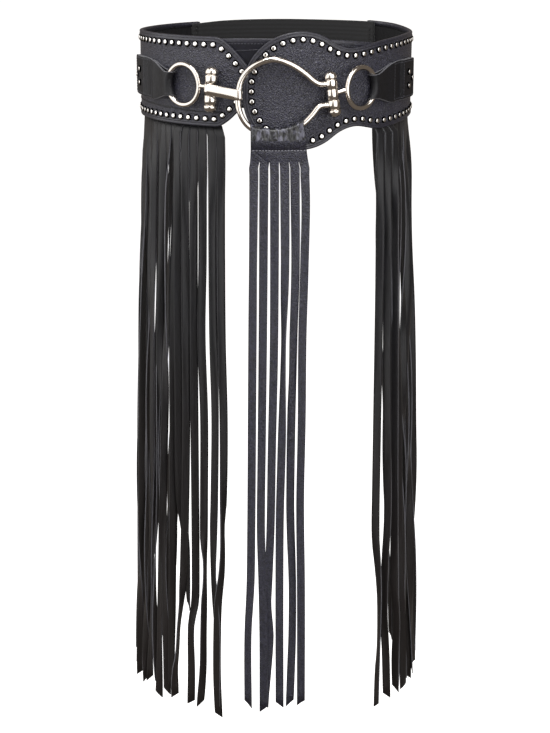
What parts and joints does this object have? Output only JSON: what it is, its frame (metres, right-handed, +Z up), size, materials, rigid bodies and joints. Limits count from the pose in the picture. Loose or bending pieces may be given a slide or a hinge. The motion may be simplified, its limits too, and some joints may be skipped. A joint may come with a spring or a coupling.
{
  "type": "fringed leather belt",
  "caption": "Wide studded leather hip belt in its worn, hollow shape, with a hooked loop buckle, ring tabs, an elastic back and long leather fringe.",
  "frame": {"origin": "centre of the belt's oval at its middle height, where the wearer's hips hold it", "axes": "+Z up, -Y towards the front of the belt with its buckle, +X to the wearer's left"},
  "size_m": [0.3388, 0.2911, 0.7616],
  "materials": {
    "leather": "black fine-grained leather with a soft sheen, dark stitching and pale cut edges",
    "elastic": "black ribbed elastic webbing, matt, zigzag stitched at both ends",
    "nickel": "polished pale nickel-plated zinc, warm in its reflections",
    "fringe_leather": "soft black leather cut in strips, napped on the flesh side"
  },
  "bodies": {
    "root": {"panel_right": "leather", "panel_left": "leather", "underlap": "leather", "back_elastic": "elastic", "tab_right": "leather", "tab_left": "leather", "ring_right": "nickel", "ring_left": "nickel", "toggle_bar": "nickel", "hook_bar": "nickel", "buckle_loop": "nickel", "strap_fold": "leather", "fringe_centre": "fringe_leather", "fringe_right": "fringe_leather", "fringe_left": "fringe_leather"}
  },
  "joints": []
}
